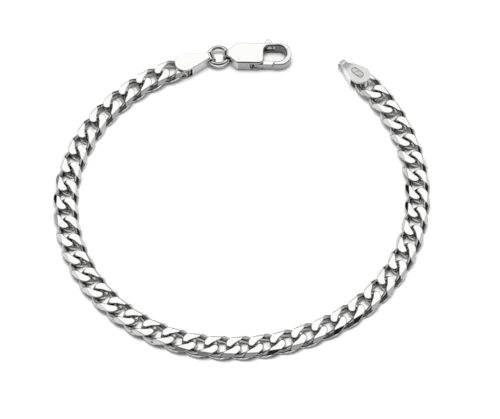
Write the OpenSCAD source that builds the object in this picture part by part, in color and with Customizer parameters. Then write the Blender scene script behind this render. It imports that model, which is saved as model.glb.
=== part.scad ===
// Flat curb bracelet with a folded tab at each end, a jump ring and a trigger clasp,
// lying open on a surface. Millimetres, +Z up. The origin is on the surface, at the
// middle of the whole outline.

/* [Chain] */
// Distance from one link to the next along the chain
link_pitch = 3.9; // [3.6:0.05:4.3]
// How many links the chain has
link_count = 42; // [36:1:46]
// Diameter of the wire that the links are made of
wire_d = 1.32; // [1.1:0.02:1.4]
// Free play between a link and its neighbour along the chain
link_play = 0.22; // [0.18:0.01:0.4]
// Width of the chain over its sides
chain_w = 4.55; // [4.3:0.05:4.8]
// Width of the flat top of the chain between its bevels
chain_flat_w = 3.25; // [2.9:0.05:3.6]
// Slope of the bevels along the chain's edges
chain_bevel = 40; // [38:1:50]
// Thickness of the chain between its flat cuts
chain_t = 1.7; // [1.4:0.05:2]
// How far the links' sides are worn flat
side_cut = 0.04; // [0.02:0.01:0.12]
// How far each end of a link is twisted out of the link's middle plane
link_twist = 50; // [44:1:56]
// Squareness of a link seen from above, where 2 is an ellipse
link_square = 2.8; // [2.5:0.1:3.2]

/* [End tabs] */
// Length of the clasp tab from its round end to the tip of its loop
tab_len = 7.8; // [7:0.1:9]
// Length of the tail tab from its round end to the tip of its loop
tail_tab_len = 7.2; // [7:0.1:8.4]
// Widest place of a tab
tab_w = 3.9; // [3.4:0.1:4.6]
// Width of the clasp tab's plate where it meets the loop
tab_neck_w = 1.3; // [1.1:0.05:1.5]
// Width of the tail tab's plate where it meets the loop
tail_tab_neck_w = 1.1; // [1:0.05:1.3]
// Thickness of the tail tab's plate where it meets the loop
tail_tab_neck_t = 1.4; // [1.2:0.1:2]
// Width of the clasp tab's loop
tab_bar_w = 1.7; // [1.5:0.05:1.9]
// Width of the tail tab's loop
tail_tab_bar_w = 1.3; // [1.2:0.05:1.5]
// Sheet thickness over and under the end link
tab_sheet = 0.33; // [0.28:0.01:0.5]
// Length of the loop beyond the folded plate
tab_loop_len = 1.1; // [0.8:0.05:1.4]
// Diameter of the hole across the loop
tab_hole_d = 1.5; // [1.4:0.02:1.6]
// Wall between the hole and the tip of the loop
tab_tip_wall = 0.27; // [0.22:0.01:0.35]
// Diameter of the post that holds the end link inside the tab
tab_post_d = 0.9; // [0.7:0.05:1.1]
// Length of the oval frame on top of the tail tab
frame_len = 2.7; // [2:0.1:3]
// Width of the oval frame on top of the tail tab
frame_w = 1.35; // [1:0.05:1.6]

/* [Jump ring] */
// Diameter of the ring's wire
ring_wire_d = 0.9; // [0.7:0.02:0.96]
// Radius of the ring at the middle of its wire
ring_r = 1.9; // [1.8:0.02:2.3]

/* [Clasp] */
// Length of the clasp from its tail to the end of its hook
clasp_len = 12.9; // [11.8:0.1:14]
// Width of the clasp's body
clasp_w = 4.6; // [4.2:0.1:5.2]
// Thickness of the clasp's body
clasp_t = 2.6; // [2.4:0.05:3]
// Width of the tail
tail_w = 1.5; // [1.3:0.05:1.8]
// Diameter of the hole across the tail
tail_hole_d = 1.4; // [1.34:0.02:1.6]
// Wall between the tail's hole and its tip
tail_wall = 0.25; // [0.22:0.01:0.4]
// Distance from the tail's tip to the body's full width
shoulder_u = 2.7; // [2.4:0.1:3.2]
// Length of the eye, from the body's mouth to the hook
eye_len = 4.3; // [3.8:0.1:4.6]
// Width of the hook where it turns
hook_w = 1; // [0.9:0.05:1.3]
// Width of the hook's far strand, beside the eye
far_strand_w = 0.55; // [0.5:0.05:0.8]
// Thickness of the hook at its tip
hook_tip_t = 1.3; // [1.1:0.05:1.5]

/* [Lever] */
// Thickness of the lever
lever_t = 1; // [0.9:0.05:1.2]
// Clearance between the lever and each face of its slot
slot_gap = 0.1; // [0.08:0.01:0.16]
// Diameter of the pin that the lever turns on
pin_d = 0.8; // [0.6:0.05:0.9]
// Gap between the lever's gate and the tip of the hook
gate_gap = 0.15; // [0.12:0.01:0.25]
// Width of the lever's gate
gate_w = 0.95; // [0.8:0.05:1.05]
// How far the thumb tab stands out beside the body
thumb_out = 1.5; // [1:0.05:1.7]

/* [Hidden] */
silver = [0.86, 0.87, 0.88];
far = 50;
sides_link = 16;
sides_wire = 6;
$fn = 64;

// Route of the chain from the clasp tab round to the tail tab: the share of its length
// and the heading there in degrees, seen from above
lay = [
    [0.00, -156],
    [0.08, -134],
    [0.20, -97],
    [0.35, -53],
    [0.50, -6],
    [0.65, 33],
    [0.78, 71],
    [0.88, 99],
    [0.97, 121.5],
    [1.00, 130.5]
];
clasp_tab_heading = 20;
clasp_heading = -1;
tail_tab_heading = 136;

// Places along the chain
link_reach = (link_pitch + wire_d + link_play) / 2;
link_half_w = (chain_w - wire_d) / 2 + side_cut;
link_end = link_reach + wire_d / 2;
fit_gap = 0.12;
tab_t = chain_t + 2 * (fit_gap + tab_sheet);
metal_z = max(tab_t, clasp_t) / 2;
ramp_links = 5;

function direction(angle) = [cos(angle), sin(angle)];
function turned(p, angle) = [p.x * cos(angle) - p.y * sin(angle), p.x * sin(angle) + p.y * cos(angle)];
function unit(v) = v / norm(v);

// The links lie on the surface, and the last few rise to the tab's middle
function ease(u) = u * u * (3 - 2 * u);
function links_to_end(i) = min(abs(i), abs(link_count - 1 - i));
function rise(i) = (metal_z - chain_t / 2) * (1 - ease(min(1, links_to_end(i) / ramp_links)));
function link_slope(i) = atan2(rise(i + 1) - rise(i - 1), 2 * link_pitch);

// A sloping link is lifted until its lower end clears the surface
function link_z(i) = chain_t / 2 + max(rise(i), link_end * abs(sin(link_slope(i))));

// Route of the link centres from the first link
function link_heading(i) = lookup(i / (link_count - 1), lay);
function chain_step(i) = link_pitch * direction(link_heading(i + 0.5));
route = [for (i = 0, p = [0, 0]; i < link_count; p = p + chain_step(i), i = i + 1) p];
first = 0;
last = link_count - 1;

// Tab: its own origin is the middle of the post, +X towards its loop
post_from_link = link_reach - wire_d / 2 - link_play - tab_post_d / 2;
tab_round_r = tab_w / 2;
tab_behind_post = 0.19;
tab_back = tab_post_d / 2 + tab_behind_post;
tab_nose_r = tab_hole_d / 2 + tab_tip_wall;
function tab_neck_x(len) = len - tab_back - tab_loop_len;
function tab_hole_x(len) = len - tab_back - tab_nose_r;
tab_cavity_x = link_end - post_from_link + fit_gap;
tab_round_x = tab_round_r - tab_back;
cavity_t = chain_t + 2 * fit_gap;
frame_back = 0.14;
frame_x = tab_cavity_x - frame_back;
frame_line = 0.16;
frame_h = 0.06;
tab_thin_x = frame_x + frame_len / 2 + 0.1;

// Ring: how far its wire bows across a tab's or the tail's width, and the share of that
// by which it sits off a hole's middle, so that it clears both sides of the hole alike
ring_set = 0.78;
function bow(width) = ring_r - sqrt(ring_r * ring_r - width * width / 4);
clasp_post = route[first] - post_from_link * direction(link_heading(first));
tail_post = route[last] + post_from_link * direction(link_heading(last));
ring_from_post = tab_hole_x(tab_len) - ring_set * bow(tab_bar_w) + ring_r;
ring_at = clasp_post + ring_from_post * direction(clasp_tab_heading);

// Clasp: its own origin is the tip of its tail, +X towards its hook
tail_hole_u = tail_wall + tail_hole_d / 2;
ring_from_tail = ring_r - tail_hole_u - ring_set * bow(tail_w);
clasp_at = ring_at + ring_from_tail * direction(clasp_heading);
mouth_u = clasp_len - hook_w - eye_len;
mouth_corner = 0.9;
hook_overlap = 0.5;
near_strand_w = 0.94 * hook_w;
eye_r = (clasp_w - far_strand_w - near_strand_w) / 2;
eye_at = [clasp_len - hook_w - eye_r, clasp_w / 2 - far_strand_w - eye_r];
hook_at = [clasp_len - clasp_w / 2, 0];
eye_near = eye_at.y - eye_r;
hook_full_v = eye_at.y + eye_r / 2;

// Lever, in the clasp's frame
slot_t = lever_t + 2 * slot_gap;
pivot_boss_r = 0.78;
pivot_from_mouth = 1.3;
pivot_from_edge = 0.9;
pivot = [mouth_u - pivot_from_mouth, -clasp_w / 2 + pivot_from_edge];
slot_back = 0.42;
slot_u = pivot.x - pivot_boss_r - slot_back;
gate_lean = 0.55;
gate_inset = 0.1;
hook_tip_share = 0.54;
hook_tip_u = mouth_u + hook_tip_share * eye_len;
gate_out = -clasp_w / 2 + gate_inset;
gate_in = gate_out + gate_w;
arm_clear = 0.12;
arm_w = 0.85;
arm_r = eye_at.x - mouth_u + arm_clear;
arm_from = 128;
arm_to = 205;
thumb_r = 0.45;
thumb_base = 1.9;
thumb_at = [mouth_u + thumb_base / 2, clasp_w / 2 + thumb_out - thumb_r];
slot_end_gap = 0.3;
slot_end_u = mouth_u + thumb_base + slot_end_gap;
pin_gap = 0.04;

// Shift that brings the middle of the whole outline to the origin
link_xs = [for (p = route) p.x];
link_ys = [for (p = route) p.y];
clasp_far_y = (clasp_at + turned(thumb_at + [0, thumb_r], clasp_heading)).y;
middle = [
    (min(link_xs) + max(link_xs)) / 2,
    (min(link_ys) - chain_w / 2 + clasp_far_y) / 2
];

function two_digits(i) = i < 10 ? str("0", i) : str(i);
function link_name(i) = str("link_", two_digits(i + 1));

// Moves a piece that is drawn round its own origin to its place on the surface
module place(at, heading, z = metal_z) {
    translate([at.x - middle.x, at.y - middle.y, z])
        rotate([0, 0, heading])
            children();
}

// One link: a squarish oval of round wire, twisted about its length
function signed_power(v, e) = sign(v) * pow(abs(v), e);
function oval(a) = [
    link_reach * signed_power(cos(a), 2 / link_square),
    link_half_w * signed_power(sin(a), 2 / link_square)
];
function twist_at(x) = -link_twist * x / link_reach;
function wire_middle(a) =
    let (p = oval(a), t = twist_at(p.x))
    [p.x, p.y * cos(t), p.y * sin(t)];
function wire_ring(a) =
    let (
        c = wire_middle(a),
        t = twist_at(c.x),
        along = unit(wire_middle(a + 1) - wire_middle(a - 1)),
        out = unit(cross(along, [0, -sin(t), cos(t)])),
        up = cross(out, along)
    )
    [for (k = [0 : sides_wire - 1])
        let (w = 360 * (k + 0.5) / sides_wire)
        c + wire_d / 2 * (cos(w) * out + sin(w) * up)];

module twisted_ring() {
    points = [
        for (i = [0 : sides_link - 1])
            for (p = wire_ring(360 * i / sides_link)) p
    ];
    function index(i, k) = (i % sides_link) * sides_wire + k % sides_wire;
    polyhedron(
        points = points,
        faces = [
            for (i = [0 : sides_link - 1])
                for (k = [0 : sides_wire - 1])
                    for (half = [0, 1])
                        half == 0
                            ? [index(i, k), index(i + 1, k), index(i + 1, k + 1)]
                            : [index(i, k), index(i + 1, k + 1), index(i, k + 1)]
        ],
        convexity = 4
    );
}

// Room between the flat cuts above and below, the bevels and the worn sides
module chain_section() {
    drop = (chain_w - chain_flat_w) / 2 * tan(chain_bevel);
    side_z = max(0.05, chain_t / 2 - drop);
    polygon([
        [-chain_w / 2, -side_z],
        [-chain_w / 2, side_z],
        [-chain_flat_w / 2, chain_t / 2],
        [chain_flat_w / 2, chain_t / 2],
        [chain_w / 2, side_z],
        [chain_w / 2, -side_z],
        [chain_flat_w / 2, -chain_t / 2],
        [-chain_flat_w / 2, -chain_t / 2]
    ]);
}

module link(i) {
    color(silver)
        place(route[i], link_heading(i), link_z(i))
            rotate([0, -link_slope(i), 0])
                intersection() {
                    twisted_ring();
                    rotate([90, 0, 90])
                        linear_extrude(2 * link_end + 1, center = true)
                            chain_section();
                }
}

// Plan of the folded plate: a round end that runs straight to the neck
module tab_plan(len, neck_w) {
    neck = [tab_neck_x(len) - tab_round_x, neck_w / 2];
    reach = norm(neck);
    touch = atan2(neck.y, neck.x) + acos(tab_round_r / reach);
    p = tab_round_r * direction(touch);
    translate([tab_round_x, 0]) {
        circle(r = tab_round_r);
        polygon([[0, 0], p, neck, [neck.x, -neck.y], [p.x, -p.y]]);
    }
}

// Side view of the plate, which may thin from the end of the oval frame to the neck
module tab_side(len, neck_t) {
    rotate([90, 0, 0])
        linear_extrude(far, center = true)
            polygon([
                [-far, -tab_t / 2],
                [tab_thin_x, -tab_t / 2],
                [tab_neck_x(len), -neck_t / 2],
                [far, -neck_t / 2],
                [far, neck_t / 2],
                [tab_neck_x(len), neck_t / 2],
                [tab_thin_x, tab_t / 2],
                [-far, tab_t / 2]
            ]);
}

// The loop's bar runs back into the plate to where the plate is as wide as the bar
module tab_loop(len, neck_w, bar_w) {
    root_x = tab_neck_x(len) - 1.5 * (bar_w - neck_w);
    translate([tab_hole_x(len), 0, 0])
        rotate([90, 0, 0])
            cylinder(r = tab_nose_r, h = bar_w, center = true);
    translate([root_x, -bar_w / 2, -tab_nose_r])
        cube([tab_hole_x(len) - root_x, bar_w, 2 * tab_nose_r]);
}

module tab(len, neck_w, neck_t, bar_w) {
    difference() {
        union() {
            intersection() {
                linear_extrude(tab_t + 1, center = true)
                    tab_plan(len, neck_w);
                tab_side(len, neck_t);
            }
            tab_loop(len, neck_w, bar_w);
        }
        translate([tab_hole_x(len), 0, 0])
            rotate([90, 0, 0])
                cylinder(d = tab_hole_d, h = far, center = true);
        translate([tab_cavity_x - far, -far / 2, -cavity_t / 2])
            cube([far, far, cavity_t]);
    }
    cylinder(d = tab_post_d, h = tab_t - tab_sheet, center = true);
}

// Raised oval frame, left empty inside
module oval_plan(len, width) {
    square([len - width, width], center = true);
    for (side = [-1, 1])
        translate([side * (len - width) / 2, 0])
            circle(d = width);
}

module oval_frame() {
    translate([frame_x, 0, tab_t / 2 - frame_h])
        linear_extrude(2 * frame_h)
            difference() {
                oval_plan(frame_len, frame_w);
                oval_plan(frame_len - 2 * frame_line, frame_w - 2 * frame_line);
            }
}

module tail_tab() {
    color(silver)
        place(tail_post, tail_tab_heading)
            union() {
                tab(tail_tab_len, tail_tab_neck_w, tail_tab_neck_t, tail_tab_bar_w);
                oval_frame();
            }
}

module clasp_tab() {
    color(silver)
        place(clasp_post, clasp_tab_heading)
            tab(tab_len, tab_neck_w, tab_t, tab_bar_w);
}

module jump_ring() {
    color(silver)
        place(ring_at, 0)
            rotate_extrude()
                translate([ring_r, 0])
                    circle(d = ring_wire_d);
}

// Body seen from above, from the tail's tip to the mouth
module body_plan() {
    polygon([
        [0, -tail_w / 2],
        [tail_hole_u, -tail_w / 2],
        [shoulder_u, -clasp_w / 2],
        [mouth_u - mouth_corner, -clasp_w / 2],
        [mouth_u, -clasp_w / 2 + mouth_corner / 2],
        [mouth_u, clasp_w / 2],
        [shoulder_u, clasp_w / 2],
        [tail_hole_u, tail_w / 2],
        [0, tail_w / 2]
    ]);
}

// Line of the gate's end, which leans so that the hook stops the gate from outside
function gate_line(v) = hook_tip_u + gate_lean * (v - eye_near);

module hook_plan() {
    difference() {
        union() {
            translate(hook_at)
                circle(d = clasp_w);
            translate([mouth_u - hook_overlap, -clasp_w / 2])
                square([hook_at.x - mouth_u + hook_overlap, clasp_w]);
        }
        translate(eye_at)
            circle(r = eye_r);
        translate([mouth_u, eye_at.y - eye_r])
            square([eye_at.x - mouth_u, 2 * eye_r]);
        polygon([
            [mouth_u - 1, -clasp_w],
            [gate_line(-clasp_w), -clasp_w],
            [gate_line(eye_at.y), eye_at.y],
            [mouth_u - 1, eye_at.y]
        ]);
    }
}

// The hook keeps the body's thickness on its far side and thins towards its tip
module hook_taper() {
    rotate([90, 0, 90])
        linear_extrude(clasp_len + 1)
            polygon([
                [clasp_w, clasp_t / 2],
                [hook_full_v, clasp_t / 2],
                [-clasp_w / 2, hook_tip_t / 2],
                [-clasp_w / 2 - 1, hook_tip_t / 2],
                [-clasp_w / 2 - 1, -hook_tip_t / 2],
                [-clasp_w / 2, -hook_tip_t / 2],
                [hook_full_v, -clasp_t / 2],
                [clasp_w, -clasp_t / 2]
            ]);
}

// Side view of the body, with the tail's tip rounded over its whole thickness
module body_side() {
    translate([clasp_t / 2, 0, 0])
        rotate([90, 0, 0])
            cylinder(d = clasp_t, h = far, center = true);
    translate([clasp_t / 2, -far / 2, -clasp_t / 2])
        cube([clasp_len, far, clasp_t]);
}

module clasp_body() {
    color(silver)
        place(clasp_at, clasp_heading)
            difference() {
                union() {
                    intersection() {
                        linear_extrude(clasp_t, center = true)
                            body_plan();
                        body_side();
                    }
                    intersection() {
                        linear_extrude(clasp_t, center = true)
                            hook_plan();
                        hook_taper();
                    }
                }
                translate([tail_hole_u, 0, 0])
                    rotate([90, 0, 0])
                        cylinder(d = tail_hole_d, h = far, center = true);
                translate([slot_u, -far, -slot_t / 2])
                    cube([mouth_u - slot_u, 2 * far, slot_t]);
                translate([slot_u, eye_at.y, -slot_t / 2])
                    cube([slot_end_u - slot_u, far, slot_t]);
                translate(pivot)
                    cylinder(d = pin_d + 2 * pin_gap, h = far, center = true);
            }
}

// Lever seen from above: thumb tab, arm behind the mouth, boss on the pin, and gate
module lever_arm() {
    intersection() {
        difference() {
            translate(eye_at)
                circle(r = arm_r + arm_w);
            translate(eye_at)
                circle(r = arm_r);
        }
        polygon([
            eye_at,
            eye_at + 2 * arm_r * direction(arm_from),
            eye_at + 3 * arm_r * direction((arm_from + arm_to) / 2),
            eye_at + 2 * arm_r * direction(arm_to)
        ]);
    }
}

module thumb_tab() {
    root = eye_at + (arm_r + arm_w / 2) * direction(arm_from);
    translate(thumb_at)
        circle(r = thumb_r);
    polygon([
        thumb_at + thumb_r * direction(150),
        [mouth_u - thumb_base / 4, clasp_w / 2 - arm_w],
        root + [-arm_w / 2, -arm_w / 2],
        root + [arm_w / 2, 0],
        [mouth_u + thumb_base, clasp_w / 2 - far_strand_w],
        [mouth_u + thumb_base, clasp_w / 2],
        thumb_at + thumb_r * direction(40)
    ]);
}

module lever_plan() {
    difference() {
        union() {
            translate(pivot)
                circle(r = pivot_boss_r);
            lever_arm();
            thumb_tab();
            polygon([
                [pivot.x, gate_out],
                [gate_line(gate_out) - gate_gap, gate_out],
                [gate_line(gate_in) - gate_gap, gate_in],
                [pivot.x, gate_in]
            ]);
        }
        translate(pivot)
            circle(d = pin_d + 2 * pin_gap);
    }
}

module clasp_lever() {
    color(silver)
        place(clasp_at, clasp_heading)
            linear_extrude(lever_t, center = true)
                lever_plan();
}

module lever_pin() {
    color(silver)
        place(clasp_at, clasp_heading)
            translate(pivot)
                cylinder(d = pin_d, h = clasp_t, center = true);
}

for (i = [first : last])
    link(i);
tail_tab();
clasp_tab();
jump_ring();
clasp_body();
clasp_lever();
lever_pin();
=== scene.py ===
import math

import bmesh
import bpy
import numpy as np
from mathutils import Matrix, Vector


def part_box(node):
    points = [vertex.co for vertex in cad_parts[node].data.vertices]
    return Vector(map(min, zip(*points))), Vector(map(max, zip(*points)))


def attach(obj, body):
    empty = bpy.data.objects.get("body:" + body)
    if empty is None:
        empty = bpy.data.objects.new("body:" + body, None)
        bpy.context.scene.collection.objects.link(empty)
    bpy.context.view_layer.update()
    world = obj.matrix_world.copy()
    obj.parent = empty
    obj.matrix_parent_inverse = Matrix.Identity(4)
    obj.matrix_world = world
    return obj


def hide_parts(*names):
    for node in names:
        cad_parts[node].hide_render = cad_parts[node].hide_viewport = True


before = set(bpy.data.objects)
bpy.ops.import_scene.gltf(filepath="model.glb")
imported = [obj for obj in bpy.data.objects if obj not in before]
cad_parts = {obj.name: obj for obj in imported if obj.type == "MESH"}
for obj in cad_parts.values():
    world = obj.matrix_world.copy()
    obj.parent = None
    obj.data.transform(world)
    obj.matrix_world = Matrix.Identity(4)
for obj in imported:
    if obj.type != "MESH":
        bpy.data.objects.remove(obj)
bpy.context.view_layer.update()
scene = bpy.context.scene
MM = 0.001

# Sizes of the CAD model, in mm
PITCH, LINKS = 3.9, 42
WIRE_R = 0.66
CHAIN_T, CHAIN_W, CHAIN_FLAT, SIDE_CUT = 1.7, 4.55, 3.25, 0.04
LINK_PLAY, BEVEL = 0.22, math.radians(40)
TWIST = math.radians(50)  # at each end of a link, about its length
SQUARE = 2.8  # how square the ends of a link's loop are: 2 is an ellipse
WORN_EDGE = 0.07
# Half the length and width of the loop that the wire's middle follows
REACH = (PITCH + 2 * WIRE_R + LINK_PLAY) / 2
HALF_W = CHAIN_W / 2 - WIRE_R + SIDE_CUT
METAL_Z = 1.3  # the height of the middle of the clasp, ring and tabs
RAMP = 5  # the number of links over which the chain rises to it
# The chain's heading in degrees, by the share of its length from the clasp
LAY = [(0, -156), (0.08, -134), (0.2, -97), (0.35, -53), (0.5, -6), (0.65, 33), (0.78, 71),
       (0.88, 99), (0.97, 121.5), (1, 130.5)]


# ---------------------------------------------------------------- materials
CLOUD_SCALE = 900  # of the noise that varies the gloss
# Noise scale, detail, stretch and bump height in metres
UNEVEN = (500, 2, (1, 1, 1), 0.00003)
SCRATCHES = (2500, 4, (1, 14, 1), 0.000004)
GRAIN = (2600, 2, (1, 1, 1), 0.00012)


def material(name, base, rough, rough_spread, bump, scratch, grain=0.0):
    """Silver with a little cloud in its gloss, fine wear lines and a slightly uneven face."""
    m = bpy.data.materials.new(name)
    m.use_nodes = True
    nt = m.node_tree
    bsdf = nt.nodes["Principled BSDF"]
    bsdf.inputs["Base Color"].default_value = (*base, 1)
    bsdf.inputs["Metallic"].default_value = 1
    coord = nt.nodes.new("ShaderNodeTexCoord")

    def noise(scale, detail, stretch):
        mapping = nt.nodes.new("ShaderNodeMapping")
        mapping.inputs["Scale"].default_value = stretch
        tex = nt.nodes.new("ShaderNodeTexNoise")
        tex.inputs["Scale"].default_value = scale
        tex.inputs["Detail"].default_value = detail
        nt.links.new(coord.outputs["Object"], mapping.inputs["Vector"])
        nt.links.new(mapping.outputs["Vector"], tex.inputs["Vector"])
        return tex.outputs["Fac"]

    ramp = nt.nodes.new("ShaderNodeMapRange")
    ramp.inputs["To Min"].default_value = rough - rough_spread
    ramp.inputs["To Max"].default_value = rough + rough_spread
    nt.links.new(noise(CLOUD_SCALE, 3, (1, 1, 1)), ramp.inputs["Value"])
    nt.links.new(ramp.outputs["Result"], bsdf.inputs["Roughness"])
    last = None
    for (scale, detail, stretch, height), strength in (
            (UNEVEN, bump), (SCRATCHES, scratch), (GRAIN, grain)):
        if not strength:
            continue
        b = nt.nodes.new("ShaderNodeBump")
        b.inputs["Strength"].default_value = strength
        b.inputs["Distance"].default_value = height
        nt.links.new(noise(scale, detail, stretch), b.inputs["Height"])
        if last:
            nt.links.new(last, b.inputs["Normal"])
        last = b.outputs["Normal"]
    nt.links.new(last, bsdf.inputs["Normal"])
    return m


polished = material("polished_silver", (0.75, 0.748, 0.742), 0.06, 0.02, 0.06, 0.08)
# Near-black copy of the silver: painted shade inside the clasp's eye and far slot
painted_shade_inside = material("inside_shade_silver", (0.14, 0.14, 0.138), 0.15, 0.03, 0.06, 0.08)
# Darker copy of the silver: painted shade on the sides of the clasp, its tab and the round faces of
# the links
painted_shade_sides = material("shaded_silver", (0.54, 0.54, 0.535), 0.08, 0.03, 0.06, 0.08)
# Grey copy of the silver: painted shade on the upright side walls of the clasp and lever
painted_shade_wall = material("wall_shade_silver", (0.33, 0.33, 0.327), 0.12, 0.03, 0.06, 0.08)
satin = material("satin_silver", (0.84, 0.84, 0.835), 0.38, 0.05, 0.15, 0.3)
grained = material("grained_silver", (0.72, 0.72, 0.71), 0.3, 0.05, 0.15, 0, 1)
# Dark silver for the oval's rim: painted shade for the shadow line of the raised frame
painted_frame_shade = material("frame_shade_silver", (0.3, 0.3, 0.3), 0.3, 0.05, 0.15, 0)


# ---------------------------------------------------------------- mesh helpers, in mm
THROUGH = 20  # the length of a tool that cuts right through a piece
SHARP = math.radians(32)  # edges with a larger angle are rounded or stay sharp
UPRIGHT = Matrix.Rotation(math.radians(90), 4, "X")


def new_object(name, bm):
    mesh = bpy.data.meshes.new(name)
    bm.to_mesh(mesh)
    bm.free()
    ob = bpy.data.objects.new(name, mesh)
    scene.collection.objects.link(ob)
    return ob


def prism(points, z0, z1):
    """A solid with this outline, from z0 to z1."""
    bm = bmesh.new()
    low = [bm.verts.new((x, y, z0)) for x, y in points]
    high = [bm.verts.new((x, y, z1)) for x, y in points]
    bm.faces.new(list(reversed(low)))
    bm.faces.new(high)
    for i in range(len(points)):
        j = (i + 1) % len(points)
        bm.faces.new((low[i], low[j], high[j], high[i]))
    bmesh.ops.recalc_face_normals(bm, faces=bm.faces)
    return new_object("part", bm)


def turned(ob, matrix):
    ob.data.transform(matrix)
    return ob


def rod(radius, length, axis, at, sides=64):
    """A round rod along Y or Z."""
    pts = [(radius * math.cos(a), radius * math.sin(a)) for a in arc(0, 360, sides)[:-1]]
    ob = prism(pts, -length / 2, length / 2)
    if axis == "Y":
        turned(ob, UPRIGHT)
    return turned(ob, Matrix.Translation(at))


def block(x0, x1, y0, y1, z0, z1):
    return prism([(x0, y0), (x1, y0), (x1, y1), (x0, y1)], z0, z1)


def arc(a0, a1, n):
    """Angles in radians from a0 to a1 degrees."""
    return [math.radians(a0 + (a1 - a0) * i / n) for i in range(n + 1)]


def arc_points(centre, r, a0, a1, n):
    return [(centre[0] + r * math.cos(a), centre[1] + r * math.sin(a)) for a in arc(a0, a1, n)]


def boolean(ob, other, operation):
    mod = ob.modifiers.new("cut", "BOOLEAN")
    mod.object = other
    mod.operation = operation
    mod.solver = "EXACT"
    applied(ob)
    bpy.data.objects.remove(other)


def applied(ob):
    bpy.context.view_layer.update()
    mesh = bpy.data.meshes.new_from_object(ob.evaluated_get(bpy.context.evaluated_depsgraph_get()))
    ob.modifiers.clear()
    ob.data = mesh
    return ob


def bevelled(ob, width, share=lambda at: 1):
    """Rounds the outer edges, each by its share of the width, and merges what the cuts left double."""
    bm = bmesh.new()
    bm.from_mesh(ob.data)
    bmesh.ops.remove_doubles(bm, verts=bm.verts, dist=0.002)
    bmesh.ops.dissolve_limit(bm, angle_limit=math.radians(0.5), verts=bm.verts, edges=bm.edges)
    layer = bm.edges.layers.float.new("bevel_weight_edge")
    for edge in bm.edges:
        if len(edge.link_faces) == 2 and edge.calc_face_angle_signed() > SHARP:
            edge[layer] = share((edge.verts[0].co + edge.verts[1].co) / 2)
    bm.to_mesh(ob.data)
    bm.free()
    mod = ob.modifiers.new("edge", "BEVEL")
    mod.width = width
    mod.segments = 4
    mod.limit_method = "WEIGHT"
    mod.use_clamp_overlap = False
    return applied(ob)


def joined(ob, other, material_index):
    """Adds another closed shell to a piece, with its own material."""
    bm = bmesh.new()
    bm.from_mesh(ob.data)
    count = len(bm.faces)
    bm.from_mesh(other.data)
    bm.faces.ensure_lookup_table()
    for face in bm.faces[count:]:
        face.material_index = material_index
    bm.to_mesh(ob.data)
    bm.free()
    bpy.data.objects.remove(other)


def with_painted_side_shade(ob):
    """Gives all but the level faces the second material, a darker copy of the silver: painted shade on
    the sides.
    """
    for face in ob.data.polygons:
        face.material_index = int(abs(face.normal.z) < 0.93)
    return ob


def finished(ob, name, matrix, mats, body, node, smooth=SHARP):
    """Puts a piece made in mm in its place, in metres, gives it its materials, hangs it on its body
    and hides the CAD node that it replaces.
    """
    if smooth:
        ob.data.polygons.foreach_set("use_smooth", [True] * len(ob.data.polygons))
        ob.data.set_sharp_from_angle(angle=smooth)
        mod = ob.modifiers.new("even", "WEIGHTED_NORMAL")
        mod.keep_sharp = True
        mod.weight = 100
        applied(ob)
    ob.name = name
    ob.data.name = name
    ob.data.transform(Matrix.Scale(MM, 4) @ matrix)
    indices = [face.material_index for face in ob.data.polygons]
    ob.data.materials.clear()
    for mat in mats:
        ob.data.materials.append(mat)
    ob.data.polygons.foreach_set("material_index", indices)
    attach(ob, body)
    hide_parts(node)


def node_middle(node):
    low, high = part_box(node)
    return (low + high) / 2 / MM


# ---------------------------------------------------------------- links
def link_centre(a):
    """The middle of the wire at an angle round the link."""
    c, s = math.cos(a), math.sin(a)
    x = REACH * math.copysign(abs(c) ** (2 / SQUARE), c)
    y = HALF_W * math.copysign(abs(s) ** (2 / SQUARE), s)
    t = -TWIST * x / REACH
    return Vector((x, y * math.cos(t), y * math.sin(t)))


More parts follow.
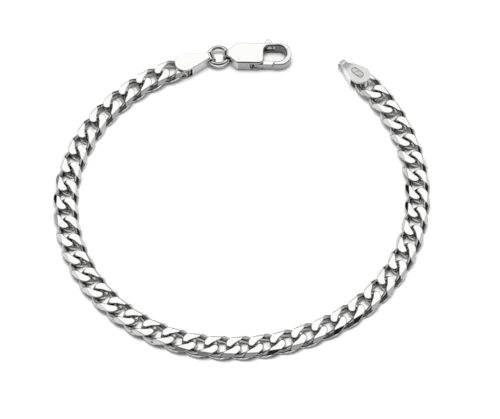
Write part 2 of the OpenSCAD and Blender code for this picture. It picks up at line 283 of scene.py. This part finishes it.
def link_mesh(bevel):
    """A link of round wire, cut flat above and below and bevelled along its edges."""
    steps, sides = 108, 28
    bm = bmesh.new()
    fine = np.linspace(0, 2 * math.pi, 3001)
    line = np.array([link_centre(a)[:] for a in fine])
    length = np.r_[0, np.cumsum(np.linalg.norm(np.diff(line, axis=0), axis=1))]
    rings = []
    for a in np.interp(np.linspace(0, length[-1], steps, endpoint=False), length, fine):
        c = link_centre(a)
        along = (link_centre(a + 0.004) - link_centre(a - 0.004)).normalized()
        t = -TWIST * c.x / REACH
        out = along.cross(Vector((0, -math.sin(t), math.cos(t)))).normalized()
        up = out.cross(along)
        rings.append([bm.verts.new(c + WIRE_R * (math.cos(k) * out + math.sin(k) * up))
                      for k in np.linspace(0, 2 * math.pi, sides, endpoint=False)])
    for i, ring in enumerate(rings):
        after = rings[(i + 1) % steps]
        for k in range(sides):
            m = (k + 1) % sides
            bm.faces.new((ring[k], after[k], after[m], ring[m])).smooth = True
    bmesh.ops.recalc_face_normals(bm, faces=bm.faces)
    planes = [((0, 0, s * CHAIN_T / 2), (0, 0, s)) for s in (1, -1)]
    planes += [((0, s * CHAIN_W / 2, 0), (0, s, 0)) for s in (1, -1)]
    planes += [((0, sy * CHAIN_FLAT / 2, sz * CHAIN_T / 2),
                (0, sy * math.sin(bevel), sz * math.cos(bevel)))
               for sy in (1, -1) for sz in (1, -1)]
    for at, normal in planes:
        cut = bmesh.ops.bisect_plane(bm, geom=bm.verts[:] + bm.edges[:] + bm.faces[:], dist=1e-5,
                                     plane_co=at, plane_no=Vector(normal).normalized(),
                                     clear_outer=True)
        edges = [e for e in cut["geom_cut"] if isinstance(e, bmesh.types.BMEdge)]
        for face in bmesh.ops.holes_fill(bm, edges=edges, sides=0)["faces"]:
            face.smooth = False
    cut_edges = [e for e in bm.edges if len(e.link_faces) == 2 and e.calc_face_angle() > 0.2
                 and not all(f.smooth for f in e.link_faces)]
    bmesh.ops.bevel(bm, geom=cut_edges, offset=WORN_EDGE, segments=2, profile=0.5, affect="EDGES",
                    clamp_overlap=False)
    # The round and rounded faces get the darker silver, as painted shade; the flat facets stay bright
    for face in bm.faces:
        face.smooth = face.smooth or face.calc_area() < 0.02
        face.material_index = 1 if face.smooth else 0
    mesh = bpy.data.meshes.new("link")
    bm.to_mesh(mesh)
    bm.free()
    return mesh


def heading(i):
    """Which way link i lies, in degrees from +X."""
    return float(np.interp(i / (LINKS - 1), [a for a, b in LAY], [b for a, b in LAY]))


def rise(i):
    """How much higher link i lies than the ones on the floor."""
    u = min(1, min(abs(i), abs(LINKS - 1 - i)) / RAMP)
    return (METAL_Z - CHAIN_T / 2) * (1 - u * u * (3 - 2 * u))


even_link = link_mesh(BEVEL)
steep_link = link_mesh(BEVEL + math.radians(6))
STEEP_LINKS = (27, 28)  # their bevels are darker in the photo
for i in range(LINKS):
    node = f"link_{i + 1:02d}"
    slope = math.atan2(rise(i + 1) - rise(i - 1), 2 * PITCH)
    place = (Matrix.Translation(node_middle(node))
             @ Matrix.Rotation(math.radians(heading(i)), 4, "Z")
             @ Matrix.Rotation(-slope, 4, "Y"))
    made = steep_link if i + 1 in STEEP_LINKS else even_link
    ob = bpy.data.objects.new(node, made.copy())
    scene.collection.objects.link(ob)
    finished(ob, "curb_" + node, place, [polished, painted_shade_sides], "bracelet", node, None)


# ---------------------------------------------------------------- tabs
CLASP_TAB_TURN, CLASP_TURN, TAIL_TAB_TURN = 20, -1, 136

# Tab sizes, as in the CAD model
TAB_W, SHEET, LOOP_LEN = 3.9, 0.33, 1.1
HOLE_D, TIP_WALL, POST_D = 1.5, 0.27, 0.9
OVAL_LEN, OVAL_W, OVAL_LINE, OVAL_H = 2.7, 1.35, 0.16, 0.06
FIT = 0.12
TAB_T = CHAIN_T + 2 * (FIT + SHEET)
BACK = POST_D / 2 + 0.19
NOSE_R = HOLE_D / 2 + TIP_WALL
POST_FROM_LINK = REACH - WIRE_R - LINK_PLAY - POST_D / 2
CAVITY_X = REACH + WIRE_R - POST_FROM_LINK + FIT
CAVITY_T = CHAIN_T + 2 * FIT
ROUND_R = TAB_W / 2
ROUND_X = ROUND_R - BACK
OVAL_X = CAVITY_X - 0.14
THIN_X = OVAL_X + OVAL_LEN / 2 + 0.1
FAR = 9  # past every side of a tab
# Length, neck width, neck thickness and width of the bar
CLASP_TAB = (7.8, 1.3, TAB_T, 1.7)
TAIL_TAB = (7.2, 1.1, 1.4, 1.3)
TAB_EDGE, RIM_EDGE = 0.12, 0.025


def oval_outline(length, width):
    half = (length - width) / 2
    return (arc_points((OVAL_X + half, 0), width / 2, -90, 90, 24)
            + arc_points((OVAL_X - half, 0), width / 2, 90, 270, 24))


def make_tab(length, neck_w, neck_t, bar_w):
    """A folded tab about its own post, with its loop towards +X."""
    neck_x, hole_x = length - BACK - LOOP_LEN, length - BACK - NOSE_R
    neck = (neck_x - ROUND_X, neck_w / 2)
    touch = math.degrees(math.atan2(neck[1], neck[0]) + math.acos(ROUND_R / math.hypot(*neck)))
    outline = arc_points((ROUND_X, 0), ROUND_R, touch, 360 - touch, 72)
    top = TAB_T / 2
    ob = prism(outline + [(neck_x, -neck_w / 2), (neck_x, neck_w / 2)], -top - 1, top + 1)
    side = prism([(-FAR, -top), (THIN_X, -top), (neck_x, -neck_t / 2), (FAR, -neck_t / 2),
                  (FAR, neck_t / 2), (neck_x, neck_t / 2), (THIN_X, top), (-FAR, top)], -FAR, FAR)
    boolean(ob, turned(side, UPRIGHT), "INTERSECT")
    boolean(ob, rod(NOSE_R, bar_w, "Y", (hole_x, 0, 0)), "UNION")
    root_x = neck_x - 1.5 * (bar_w - neck_w)
    boolean(ob, block(root_x, hole_x, -bar_w / 2, bar_w / 2, -NOSE_R, NOSE_R), "UNION")
    boolean(ob, rod(HOLE_D / 2, THROUGH, "Y", (hole_x, 0, 0)), "DIFFERENCE")
    boolean(ob, block(CAVITY_X - 50, CAVITY_X, -25, 25, -CAVITY_T / 2, CAVITY_T / 2), "DIFFERENCE")
    bevelled(ob, TAB_EDGE)
    boolean(ob, rod(POST_D / 2, TAB_T - SHEET, "Z", (0, 0, 0), 48), "UNION")
    return ob


def with_oval(ob, rim_index, panel_index):
    """Adds the oval frame and its grained panel to the top of a tab."""
    foot, top = TAB_T / 2 - 0.05, TAB_T / 2
    rim = prism(oval_outline(OVAL_LEN, OVAL_W), foot, top + OVAL_H)
    inner = oval_outline(OVAL_LEN - 2 * OVAL_LINE, OVAL_W - 2 * OVAL_LINE)
    boolean(rim, prism(inner, 0, 5), "DIFFERENCE")
    panel = prism(oval_outline(OVAL_LEN - OVAL_LINE, OVAL_W - OVAL_LINE), foot, top + 0.01)
    joined(ob, bevelled(rim, RIM_EDGE), rim_index)
    joined(ob, panel, panel_index)
    return ob


def tab_place(node, link_turn, way, turn):
    """Where a tab's own origin goes: the post inside the end link."""
    a = math.radians(link_turn)
    middle = node_middle(node)
    at = (middle[0] + way * POST_FROM_LINK * math.cos(a),
          middle[1] + way * POST_FROM_LINK * math.sin(a), METAL_Z)
    return Matrix.Translation(at) @ Matrix.Rotation(math.radians(turn), 4, "Z")


finished(with_painted_side_shade(make_tab(*CLASP_TAB)), "polished_tab",
         tab_place("link_01", heading(0), -1, CLASP_TAB_TURN),
         [polished, painted_shade_sides], "bracelet", "clasp_tab")
finished(with_oval(make_tab(*TAIL_TAB), 2, 1), "satin_tab",
         tab_place("link_42", heading(LINKS - 1), 1, TAIL_TAB_TURN),
         [satin, grained, painted_frame_shade], "bracelet", "tail_tab")


# ---------------------------------------------------------------- jump ring
RING_R, RING_WIRE_R = 1.9, 0.45


def torus(big, small):
    around, across = 128, 32
    bm = bmesh.new()
    rings = [[bm.verts.new(((big + small * math.cos(k)) * math.cos(a),
                            (big + small * math.cos(k)) * math.sin(a), small * math.sin(k)))
              for k in arc(0, 360, across)[:-1]] for a in arc(0, 360, around)[:-1]]
    for i, ring in enumerate(rings):
        after = rings[(i + 1) % around]
        for k in range(across):
            m = (k + 1) % across
            bm.faces.new((ring[k], after[k], after[m], ring[m]))
    bmesh.ops.recalc_face_normals(bm, faces=bm.faces)
    return new_object("ring", bm)


finished(torus(RING_R, RING_WIRE_R), "wire_ring", Matrix.Translation(node_middle("jump_ring")),
         [polished], "bracelet", "jump_ring")

# ---------------------------------------------------------------- clasp
CLASP_LEN, CLASP_W, CLASP_T = 12.9, 4.6, 2.6
TAIL_W, TAIL_HOLE, TAIL_WALL, SHOULDER = 1.5, 1.4, 0.25, 2.7
EYE_LEN, HOOK_W, FAR_W, TIP_T = 4.3, 1.0, 0.55, 1.3
LEVER_T, SLOT_GAP, PIN_D, GATE_GAP, GATE_W, THUMB_OUT = 1.0, 0.1, 0.8, 0.15, 0.95, 1.5
TAIL_HOLE_U = TAIL_WALL + TAIL_HOLE / 2
MOUTH = CLASP_LEN - HOOK_W - EYE_LEN
EYE_R = (CLASP_W - FAR_W - 0.94 * HOOK_W) / 2
EYE = (CLASP_LEN - HOOK_W - EYE_R, CLASP_W / 2 - FAR_W - EYE_R)
HOOK = (CLASP_LEN - CLASP_W / 2, 0)
EYE_NEAR = EYE[1] - EYE_R
HOOK_FULL = EYE[1] + EYE_R / 2
SLOT_T = LEVER_T + 2 * SLOT_GAP
PIVOT = (MOUTH - 1.3, -CLASP_W / 2 + 0.9)
BOSS_R = 0.78
SLOT_U = PIVOT[0] - BOSS_R - 0.42
GATE_LEAN = 0.55
HOOK_TIP_U = MOUTH + 0.54 * EYE_LEN
GATE_OUT = -CLASP_W / 2 + 0.1
GATE_IN = GATE_OUT + GATE_W
ARM_R, ARM_W, ARM_FROM, ARM_TO = EYE[0] - MOUTH + 0.12, 0.85, 128, 205
THUMB_R, THUMB_BASE, FILLET = 0.45, 1.9, 1.1
THUMB = (MOUTH + THUMB_BASE / 2, CLASP_W / 2 + THUMB_OUT - THUMB_R)
SLOT_END = MOUTH + THUMB_BASE + 0.1
CLASP_SILVERS = [polished, painted_shade_sides, painted_shade_inside, painted_shade_wall]
SHADE_INSIDE, SHADE_WALL = 2, 3  # places in that list: painted shade inside the eye and slot, painted shade on the side walls
BODY_EDGE, LEVER_EDGE = 0.5, 0.12
NEAR_SHARE, EYE_SHARE, OTHER_SHARE = 0.85, 0.65, 0.36
clasp_place = (Matrix.Translation(node_middle("lever_pin"))
               @ Matrix.Rotation(math.radians(CLASP_TURN), 4, "Z")
               @ Matrix.Translation((-PIVOT[0], -PIVOT[1], 0)))


def gate_line(v):
    """Where the slanted end of the hook is, across the clasp."""
    return HOOK_TIP_U + GATE_LEAN * (v - EYE_NEAR)


def in_eye(at):
    """Whether a place is on the eye's wall, or inside it."""
    slack = 0.08
    if at.x < MOUTH + 0.1 or at.y < EYE_NEAR - slack:
        return False
    if at.x < EYE[0]:
        return at.y < EYE[1] + EYE_R + slack
    return math.hypot(at.x - EYE[0], at.y - EYE[1]) < EYE_R + slack


def body_edge(at):
    """How round an edge of the body is: most along its near side and around the eye."""
    if abs(at.y + CLASP_W / 2) < 0.05 and abs(at.z) > SLOT_T / 2 + 0.1:
        return NEAR_SHARE
    if abs(math.hypot(at.x - EYE[0], at.y - EYE[1]) - EYE_R) < 0.05 and at.x > MOUTH + 1:
        return EYE_SHARE
    return OTHER_SHARE


def in_far_slot(at):
    """Whether a place is in the slot that the thumb tab comes out of."""
    return at.x > SLOT_U and at.y > EYE[1] and abs(at.z) < SLOT_T / 2 + 0.01


def is_side_wall(face):
    """Whether a face is upright and turned to either side of the clasp."""
    return abs(face.normal.y) > 0.35 and abs(face.normal.z) < 0.5


def make_body():
    h = CLASP_T / 2
    plan = [(0, -TAIL_W / 2), (TAIL_HOLE_U, -TAIL_W / 2), (SHOULDER, -CLASP_W / 2),
            (MOUTH - 0.9, -CLASP_W / 2), (MOUTH, -CLASP_W / 2 + 0.45), (MOUTH, CLASP_W / 2),
            (SHOULDER, CLASP_W / 2), (TAIL_HOLE_U, TAIL_W / 2), (0, TAIL_W / 2)]
    body = prism(plan, -h, h)
    side = rod(h, 30, "Y", (h, 0, 0), 96)
    boolean(side, block(h, CLASP_LEN + 1, -15, 15, -h, h), "UNION")
    boolean(body, side, "INTERSECT")
    hook = prism(arc_points(HOOK, CLASP_W / 2, -90, 90, 72)
                 + [(MOUTH - 0.5, CLASP_W / 2), (MOUTH - 0.5, -CLASP_W / 2)], -h, h)
    eye = prism(arc_points(EYE, EYE_R, -90, 90, 72)
                + [(MOUTH, EYE[1] + EYE_R), (MOUTH, EYE[1] - EYE_R)], -5, 5)
    boolean(hook, eye, "DIFFERENCE")
    boolean(hook, prism([(MOUTH - 1, -CLASP_W), (gate_line(-CLASP_W), -CLASP_W),
                         (gate_line(EYE[1]), EYE[1]), (MOUTH - 1, EYE[1])], -5, 5), "DIFFERENCE")
    t = TIP_T / 2
    w = CLASP_W / 2
    taper = prism([(CLASP_W, h), (HOOK_FULL, h), (-w, t), (-w - 1, t), (-w - 1, -t), (-w, -t),
                   (HOOK_FULL, -h), (CLASP_W, -h)], 0, CLASP_LEN + 1)
    turned(taper, Matrix(((0, 0, 1, 0), (1, 0, 0, 0), (0, 1, 0, 0), (0, 0, 0, 1))))  # along +X
    boolean(hook, taper, "INTERSECT")
    boolean(body, hook, "UNION")
    boolean(body, rod(TAIL_HOLE / 2, THROUGH, "Y", (TAIL_HOLE_U, 0, 0)), "DIFFERENCE")
    boolean(body, block(SLOT_U, MOUTH, -20, 20, -SLOT_T / 2, SLOT_T / 2), "DIFFERENCE")
    boolean(body, block(SLOT_U, SLOT_END, EYE[1], 20, -SLOT_T / 2, SLOT_T / 2), "DIFFERENCE")
    corner = (MOUTH, EYE[1] + EYE_R)
    for z0, z1 in ((SLOT_T / 2, h), (-h, -SLOT_T / 2)):
        fillet = prism([(corner[0] - 0.2, corner[1] + 0.2), (corner[0] - 0.2, corner[1] - FILLET)]
                       + arc_points((corner[0] + FILLET, corner[1] - FILLET), FILLET, 180, 90, 16)
                       + [(corner[0] + FILLET, corner[1] + 0.2)], z0, z1)
        boolean(body, fillet, "UNION")
    bevelled(body, BODY_EDGE, body_edge)
    boolean(body, rod(PIN_D / 2 + 0.003, THROUGH, "Z", (*PIVOT, 0)), "DIFFERENCE")
    with_painted_side_shade(body)
    # Painted shade: the eye's inner wall and the far slot get the near-black silver, the side walls
    # past the slot the grey one
    for face in body.data.polygons:
        if in_far_slot(face.center) or abs(face.normal.z) < 0.7 and in_eye(face.center):
            face.material_index = SHADE_INSIDE
        elif is_side_wall(face) and face.center.x > SLOT_U:
            face.material_index = SHADE_WALL
    finished(body, "clasp_shell", clasp_place, CLASP_SILVERS, "bracelet", "clasp_body")


def around(centre, r, angle):
    return arc_points(centre, r, angle, angle, 1)[0]


def make_lever():
    h = LEVER_T / 2
    lever = rod(BOSS_R, LEVER_T, "Z", (*PIVOT, 0), 96)
    band = prism(arc_points(EYE, ARM_R + ARM_W, ARM_FROM, ARM_TO, 48)
                 + list(reversed(arc_points(EYE, ARM_R, ARM_FROM, ARM_TO, 48))), -h, h)
    boolean(lever, band, "UNION")
    root = around(EYE, ARM_R + ARM_W / 2, ARM_FROM)
    thumb = prism([around(THUMB, THUMB_R, 150), (MOUTH - THUMB_BASE / 4, CLASP_W / 2 - ARM_W),
                   (root[0] - ARM_W / 2, root[1] - ARM_W / 2), (root[0] + ARM_W / 2, root[1]),
                   (MOUTH + THUMB_BASE, CLASP_W / 2 - FAR_W), (MOUTH + THUMB_BASE, CLASP_W / 2),
                   around(THUMB, THUMB_R, 40)], -h, h)
    boolean(lever, thumb, "UNION")
    boolean(lever, rod(THUMB_R, LEVER_T, "Z", (*THUMB, 0), 64), "UNION")
    boolean(lever, prism([(PIVOT[0], GATE_OUT), (gate_line(GATE_OUT) - GATE_GAP, GATE_OUT),
                          (gate_line(GATE_IN) - GATE_GAP, GATE_IN), (PIVOT[0], GATE_IN)], -h, h),
            "UNION")
    bevelled(lever, LEVER_EDGE)
    with_painted_side_shade(lever)
    # Painted shade: the lever's side walls get the grey silver, and inside the far slot the near-black
    # one
    for face in lever.data.polygons:
        if is_side_wall(face):
            face.material_index = SHADE_INSIDE if in_far_slot(face.center) else SHADE_WALL
    finished(lever, "trigger", clasp_place, CLASP_SILVERS, "lever", "clasp_lever")


make_body()
make_lever()
finished(rod(PIN_D / 2, CLASP_T, "Z", (*PIVOT, 0)), "pin", clasp_place, [polished], "bracelet",
         "lever_pin")

# ---------------------------------------------------------------- floor, light and camera
# The camera's aim from the first link in mm, its distance in metres and its tilt, fitted to the photo
AIM_FROM_LINK, CAMERA_DISTANCE, CAMERA_TILT = (14.590, -30.163, 0), 0.5029, math.radians(58.517)
FLOOR_HALF = 0.6

floor_mesh = bpy.data.meshes.new("floor")
floor_mesh.from_pydata([(x * FLOOR_HALF, y * FLOOR_HALF, 0)
                        for x, y in ((-1, -1), (1, -1), (1, 1), (-1, 1))], [], [(0, 1, 2, 3)])
floor = bpy.data.objects.new("floor", floor_mesh)
scene.collection.objects.link(floor)
floor_mat = bpy.data.materials.new("floor_white")
floor_mat.use_nodes = True
floor_inputs = floor_mat.node_tree.nodes["Principled BSDF"].inputs
floor_inputs["Base Color"].default_value = (0.9, 0.9, 0.9, 1)
floor_inputs["Roughness"].default_value = 0.7
floor_mesh.materials.append(floor_mat)

# Brightness of the studio's walls up to about 40 degrees, by compass angle from +X
WALLS = [(-180, 0.95), (-140, 0.88), (-131, 0.83), (-124, 0.3), (-120, 0.22), (-108, 0.23),
         (-101, 0.33), (-84, 0.4), (-79, 0.38), (-77, 0.01), (-73, 0.01), (-70, 0.52),
         (-60, 0.45), (-54, 0.42), (-45, 0.5), (-23, 0.58), (-4, 0.64), (16, 0.75), (38, 0.9),
         (50, 1), (58, 0.03), (98, 0.03), (106, 0.5), (124, 0.6), (132, 0.9), (137, 0.9),
         (140, 0.01), (151, 0.01), (156, 0.85), (180, 0.95)]

world = bpy.data.worlds.new("studio")
scene.world = world
world.use_nodes = True
nt = world.node_tree
background = nt.nodes["Background"]
coord = nt.nodes.new("ShaderNodeTexCoord")
split = nt.nodes.new("ShaderNodeSeparateXYZ")
nt.links.new(coord.outputs["Generated"], split.inputs[0])


def map_range(value, from_min, from_max, to_min, to_max, kind="SMOOTHSTEP"):
    node = nt.nodes.new("ShaderNodeMapRange")
    node.interpolation_type = kind
    for key, number in (("From Min", from_min), ("From Max", from_max), ("To Min", to_min),
                        ("To Max", to_max)):
        node.inputs[key].default_value = number
    nt.links.new(value, node.inputs["Value"])
    return node.outputs["Result"]


def computed(operation, *values):
    node = nt.nodes.new("ShaderNodeMath")
    node.operation = operation
    for socket, value in zip(node.inputs, values):
        if isinstance(value, float):
            socket.default_value = value
        else:
            nt.links.new(value, socket)
    return node.outputs[0]


def mixed(factor, a, b):
    node = nt.nodes.new("ShaderNodeMix")
    node.data_type = "RGBA"
    nt.links.new(factor, node.inputs["Factor"])
    nt.links.new(a, node.inputs["A"])
    if isinstance(b, float):
        node.inputs["B"].default_value = (b, b, b, 1)
    else:
        nt.links.new(b, node.inputs["B"])
    return node.outputs["Result"]


walls = nt.nodes.new("ShaderNodeValToRGB")
compass = computed("ARCTAN2", split.outputs["Y"], split.outputs["X"])
nt.links.new(map_range(compass, -math.pi, math.pi, 0, 1, "LINEAR"), walls.inputs[0])
stops = walls.color_ramp.elements
for angle, tone in WALLS[1:-1]:
    stops.new((angle + 180) / 360).color = (tone, tone, tone, 1)
for stop, (angle, tone) in ((stops[0], WALLS[0]), (stops[-1], WALLS[-1])):
    stop.color = (tone, tone, tone, 1)
# The walls, black at two heights on the viewer's side, and the ceiling, darker on that side
ceiling = map_range(split.outputs["Y"], -0.15, 0.3, 0.03, 1.3)
lean = computed("MULTIPLY_ADD", split.outputs["Y"], 0.4, split.outputs["Z"])
front = map_range(split.outputs["Y"], -0.25, -0.1, 1, 0)
tone = mixed(computed("MULTIPLY", front, map_range(lean, 0.2, 0.28, 1, 0)), walls.outputs[0], 0.015)
tone = mixed(computed("MULTIPLY", front, map_range(lean, 0.43, 0.5, 0, 1)), tone, 0.02)
tone = mixed(map_range(split.outputs["Z"], 0.7, 0.79, 0, 1), tone, ceiling)
nt.links.new(tone, background.inputs["Color"])

light = bpy.data.lights.new("overhead", "AREA")
light.shape = "DISK"
light.size = 0.5
light.energy = 6
light_ob = bpy.data.objects.new("overhead", light)
light_ob.location = (0, 0.06, 0.8)
light_ob.rotation_euler = (-light_ob.location).to_track_quat("-Z", "Y").to_euler()
light_ob.visible_glossy = False
scene.collection.objects.link(light_ob)

camera = bpy.data.cameras.new("camera")
camera_ob = bpy.data.objects.new("camera", camera)
scene.collection.objects.link(camera_ob)
aim = (Vector((*node_middle("link_01")[:2], CHAIN_T / 2)) + Vector(AIM_FROM_LINK)) * MM
from_aim = Vector((0, -math.cos(CAMERA_TILT), math.sin(CAMERA_TILT)))
camera_ob.location = aim + CAMERA_DISTANCE * from_aim
camera_ob.rotation_euler = (math.pi / 2 - CAMERA_TILT, 0, 0)
camera.lens = 200
camera.sensor_width = 36
camera.clip_start = 0.01
camera.clip_end = 10
scene.camera = camera_ob
scene.view_settings.view_transform = "Standard"
